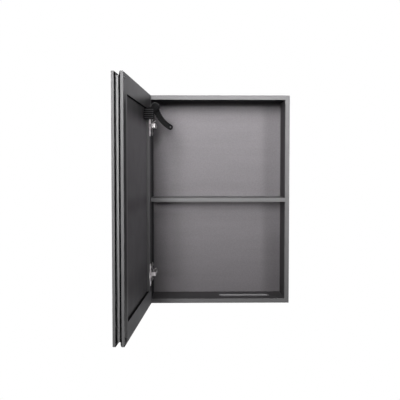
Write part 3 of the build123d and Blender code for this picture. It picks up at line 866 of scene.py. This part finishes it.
class CABINET_OT_door_frame(bpy.types.Operator):
    """Builds the door's frame as one lacquered piece, from copies of its four members"""

    bl_idname = "cabinet.door_frame"
    bl_label = "Door frame"

    def execute(self, context):
        sizes = context.scene.cabinet_sizes
        members = ("door_free_stile", "door_top_rail", "door_hinge_stile", "door_bottom_rail")
        leaf = join([copy_piece(frame["nodes"][member], member + "_copy") for member in members], "door_leaf_frame")
        leaf.data.materials.clear()
        leaf.matrix_world = door_place.inverted()
        settle(leaf)
        width, depth = sizes.door_width, sizes.door_thickness
        centre = Vector((width / 2 - sizes.pin_from_edge, sizes.pin_depth - depth / 2, mid_height))
        at_edge, slack = 3e-4, 2 * merge_reach

        def on_mitre(face):
            spot = face.calc_center_median() - centre
            run = half_height - abs(spot.z) - (width / 2 - abs(spot.x))
            slanted = abs(abs(face.normal.x) - abs(face.normal.z)) < 1e-3 and abs(face.normal.y) < 1e-3
            return slanted and abs(run) < near

        edit(leaf)
        pick(leaf, on_mitre)
        bpy.ops.mesh.delete(type="FACE")
        bpy.ops.mesh.select_all(action="SELECT")
        bpy.ops.mesh.remove_doubles(threshold=slack)
        bpy.ops.mesh.dissolve_limited(angle_limit=radians(0.5))
        bpy.ops.mesh.normals_make_consistent(inside=False)
        deselect()
        round_edges(leaf, sizes.lip_round, 2, lambda edge: outer_edge(edge, radians(30)))

        def in_groove(face):
            spot = face.center - centre
            from_edge = min(width / 2 - spot.x, half_height - abs(spot.z))
            return at_edge < from_edge < sizes.groove_reach and abs(spot.y) < depth / 2 - sizes.groove_lip

        def on_recess(face):
            spot = face.center - centre
            gap = min(width / 2 - abs(spot.x), half_height - abs(spot.z))
            return abs(gap - sizes.frame_margin) < at_edge and abs(face.normal.z) > 0.5

        dress(leaf, "door", "door_frame", "graphite_lacquer", *members)
        # The walls of the cover's recess get near black: painted shade.
        second_finish(leaf, "groove_black", on_recess)
        second_finish(leaf, "groove_skin", in_groove)
        second_finish(leaf, "rear_lacquer", lambda face: face.normal.y > roughly and not in_groove(face))
        on_door(leaf)
        smooth(leaf, radians(35))
        return {"FINISHED"}


class CABINET_OT_mirror(bpy.types.Operator):
    """Builds the mirror glass with its ground edge"""

    bl_idname = "cabinet.mirror"
    bl_label = "Mirror"

    def execute(self, context):
        sizes = context.scene.cabinet_sizes
        glass = soft_copy("mirror_glass", "mirror_plate", sizes.glass_arris, 1)
        ahead = door_place.to_3x3() @ -Y
        dress(glass, "door", "mirror", "mirror_silver", "mirror_glass")
        second_finish(glass, "glass_edge", lambda face: abs(face.normal.dot(ahead)) < squarely)
        return {"FINISHED"}


def cross_head(radius, height):
    """A screw's pan head with a cross recess, standing at the origin and looking along Y."""
    rounding, rim = height * 0.45, height * 0.9
    head = rod(Vector(), Z * height, radius, screw_sides)
    round_edges(head, rounding, 3, beyond(Z, rim))
    reach, slit = radius * 0.6, radius * 0.14
    floor, above = Z * height * 0.4, Z * height * 1.5
    for half in (Vector((reach, slit, 0)), Vector((slit, reach, 0))):
        carve(head, block(floor - half, above + half))
    head.matrix_world = Y.to_track_quat("Z", "Y").to_matrix().to_4x4()
    return settle(head)


def head_pair(radius, height, middle, spread):
    """Two screw heads, one to each side of a middle."""
    head = cross_head(radius, height)
    heads = [copy_piece(head, "head", middle + spread * share) for share in (-0.5, 0.5)]
    bpy.data.objects.remove(head)
    return heads


class CABINET_OT_cups(bpy.types.Operator):
    """Builds the hinge cups, each with its flange, screws, links and springs"""

    bl_idname = "cabinet.cups"
    bl_label = "Hinge cups"

    def execute(self, context):
        sizes = context.scene.cabinet_sizes
        sheet = sizes.flange_sheet
        rear = Y * sizes.pin_depth
        seat = X * sizes.cup_middle + rear
        bottom_round, hollow_round, corner_round, pressed_round, lap_rise = 0.0015, 0.002, 0.006, 0.0005, 1.15
        cup = rod(seat - Y * sizes.cup_depth, seat + Y * sheet / 2, sizes.cup_radius, cup_sides)
        round_edges(cup, bottom_round, 4, beyond(-Y, 0))
        half = Vector((sizes.flange_width, 0, sizes.flange_height)) / 2
        flange = block(seat - half, seat + Y * sheet + half)
        round_edges(flange, corner_round, 8, runs(Y))
        round_edges(flange, pressed_round, 3, beyond(Y, rear.y + sheet / 2))
        lap = rod(seat, seat + Y * sheet * lap_rise, sizes.cup_radius + sizes.cup_rim, cup_sides)
        round_edges(lap, pressed_round, 3, beyond(Y, rear.y + sheet))
        depth, bore = sizes.cup_depth - sizes.cup_wall, sizes.cup_radius - sizes.cup_wall
        hollow = rod(seat - Y * depth, seat + rear, bore, cup_sides)
        round_edges(hollow, hollow_round, 4, beyond(-Y, 0))
        room_for_arm = block((-0.006, -0.0027, -0.004), (0.003, 0.02, 0.004))
        carve(cup, flange, "UNION")
        carve(cup, lap, "UNION")
        carve(cup, hollow)
        carve(cup, room_for_arm)

        screw_height, screw_sink = 0.0014, 0.9
        link_level, link_reach, link_depth, link_sheet, link_round = 0.0068, 0.0165, 0.0022, 0.0004, 0.0018
        spring_ahead, spring_drop, spring_level, spring_radius, spring_wire = 0.001, -0.0002, 0.0076, 0.0021, 0.00042
        spring_turns, first_turn, spring_pitch = 6, 0.0006, 0.001
        pin_length, pin_radius, cup_pin_half, cup_pin_radius = 0.0062, 0.0014, Z * 0.0086, 0.001
        head = cross_head(sizes.screw_head, screw_height)
        parts = [cup]
        for side in (-1, 1):
            spot = seat + Y * sheet * screw_sink + Z * side * sizes.cup_screws / 2
            parts.append(copy_piece(head, "head", spot))
            low, high = side * link_level - link_sheet, side * link_level + link_sheet
            link = block((-link_sheet, -link_depth, low), (link_reach, link_depth, high))
            round_edges(link, link_round, 4, runs(Z))
            parts.append(link)
            barrel = Vector((sizes.cup_middle + spring_ahead, spring_drop, side * spring_level))
            parts.append(rod(barrel, barrel + Z * side * pin_length, pin_radius, wire_sides))
            for turn in range(spring_turns):
                spot = barrel + Z * side * (first_turn + turn * spring_pitch)
                parts.append(ring(spot, spring_radius, spring_wire))
        parts.append(rod(-cup_pin_half, cup_pin_half, cup_pin_radius, wire_sides))
        bpy.data.objects.remove(head)
        cup = join(parts, "hinge_cup_detail")
        smooth(cup)
        for place, level in hinge_levels.items():
            twin = on_door(copy_piece(cup, f"hinge_cup_{place}_pressing", Z * level))
            dress(twin, "door", "hinge_nickel", "cup_nickel", "hinge_cup_" + place)
        bpy.data.objects.remove(cup)
        return {"FINISHED"}


class CABINET_OT_arms(bpy.types.Operator):
    """Builds the hinge arms, plates, levers and plate screws on the cabinet"""

    bl_idname = "cabinet.arms"
    bl_label = "Hinge arms"

    def execute(self, context):
        sizes = context.scene.cabinet_sizes
        soft = sizes.metal_round
        setbacks, depth, reach, slit = (0.024, 0.042), 0.0007, 0.0017, 0.0004
        cross = (Vector((depth, reach, slit)), Vector((depth, slit, reach)))
        for place, level in hinge_levels.items():
            for part, making, width, steps, metal in (
                ("arm", "pressing", soft, 2, "bright_nickel"), ("plate", "casting", 2 * soft, 3, "plate_nickel"),
                ("lever", "pressing", soft, 3, "bright_nickel"),
            ):
                node = f"hinge_{part}_{place}"
                piece = soft_copy(node, f"{node}_{making}", width, steps)
                if part == "arm":
                    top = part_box(node)[1].x
                    for setback in setbacks:
                        spot = Vector((top, carcass_low.y + setback, level))
                        for half in cross:
                            carve(piece, block(spot - half, spot + half))
                    smooth(piece)
                dress(piece, "cabinet", "hinge_nickel", metal, node)
        screws = soft_copy("hinge_plate_screws", "hinge_plate_cross_screws", soft, 2, radians(60))
        dress(screws, "cabinet", "hinge_nickel", "plate_nickel", "hinge_plate_screws")
        return {"FINISHED"}


class CABINET_OT_guide(bpy.types.Operator):
    """Builds the black moulded guide near the upper hinge"""

    bl_idname = "cabinet.guide"
    bl_label = "Guide"

    def execute(self, context):
        sizes = context.scene.cabinet_sizes
        soft = sizes.mould_round
        outward = door_place.to_3x3() @ X
        highlight_depth, highlight_slant, head_height = 0.0006, 0.6, 0.0011
        for node, body in (
            ("guide_bracket", "door"), ("guide_cap", "door"), ("guide_pin", "door"), ("guide_arm", "guide_arm"),
        ):
            moulding = soft_copy(node, node + "_moulding", soft, 2, radians(40))
            if node == "guide_bracket":
                heads = head_pair(sizes.foot_screw, head_height, Vector(sizes.foot_place), Z * sizes.foot_spread)
                moulding = smooth(join([moulding, *map(on_door, heads)], node + "_moulding"))
            dress(moulding, body, "guide_black", "black_nylon", node)
            # The outermost faces of the bracket and the cap get the lighter nylon: painted highlight.
            if node in ("guide_bracket", "guide_cap"):
                reach = max(outward.dot(corner.co) for corner in moulding.data.vertices) - highlight_depth
                second_finish(
                    moulding, "rubbed_nylon",
                    lambda face: face.normal.dot(outward) > highlight_slant and outward.dot(face.center) > reach,
                )
        return {"FINISHED"}


class CABINET_OT_small_parts(bpy.types.Operator):
    """Builds the keyhole hangers with their screws, and the door bumpers"""

    bl_idname = "cabinet.small_parts"
    bl_label = "Hangers and bumpers"

    def execute(self, context):
        sizes = context.scene.cabinet_sizes
        plate_round, head_height = 0.0002, 0.001
        for side in ("left", "right"):
            node = "hanger_plate_" + side
            low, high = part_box(node)
            plate = soft_copy(node, node + "_pressing", plate_round)
            middle = Vector(((low.x + high.x) / 2, high.y, (low.z + high.z) / 2))
            heads = head_pair(sizes.hanger_screw, head_height, middle, X * sizes.hanger_spread)
            plate = smooth(join([plate, *heads], node + "_pressing"))
            dress(plate, "cabinet", "zinc_fitting", "zinc_plate", node)
        bumpers = soft_copy("door_bumpers", "door_bumper_domes", sizes.bumper_round, 4, radians(60))
        dress(bumpers, "door", "bumper_rubber", "soft_bumper", "door_bumpers")
        return {"FINISHED"}


class CABINET_PT_pieces(bpy.types.Panel):
    """Lists the pieces and their values"""

    bl_idname = "CABINET_PT_pieces"
    bl_label = "Medicine Cabinet"
    bl_space_type = "VIEW_3D"
    bl_region_type = "UI"
    bl_category = "Cabinet"

    def draw(self, context):
        for operator in pieces:
            self.layout.operator(operator.bl_idname)
        for values in (context.scene.cabinet_sizes, context.scene.cabinet_finish, context.scene.cabinet_stage):
            box = self.layout.box()
            for name in values.bl_rna.properties.keys():
                if name not in ("rna_type", "name"):
                    box.prop(values, name)


pieces = (
    CABINET_OT_stage, CABINET_OT_nodes, CABINET_OT_carcass, CABINET_OT_door_frame, CABINET_OT_mirror,
    CABINET_OT_cups, CABINET_OT_arms, CABINET_OT_guide, CABINET_OT_small_parts,
)
classes = (CabinetFinish, CabinetSizes, CabinetStage, *pieces, CABINET_PT_pieces)
groups = (("cabinet_finish", CabinetFinish), ("cabinet_sizes", CabinetSizes), ("cabinet_stage", CabinetStage))


def register():
    for cls in classes:
        bpy.utils.register_class(cls)
    for name, group in groups:
        setattr(bpy.types.Scene, name, PointerProperty(type=group))


def unregister():
    for name, group in groups:
        delattr(bpy.types.Scene, name)
    for cls in reversed(classes):
        bpy.utils.unregister_class(cls)


def main():
    register()
    bpy.ops.cabinet.stage()
    bpy.ops.cabinet.nodes()
    bpy.ops.cabinet.carcass()
    bpy.ops.cabinet.door_frame()
    bpy.ops.cabinet.mirror()
    bpy.ops.cabinet.cups()
    bpy.ops.cabinet.arms()
    bpy.ops.cabinet.guide()
    bpy.ops.cabinet.small_parts()
    deselect()


if __name__ == "__main__":
    main()
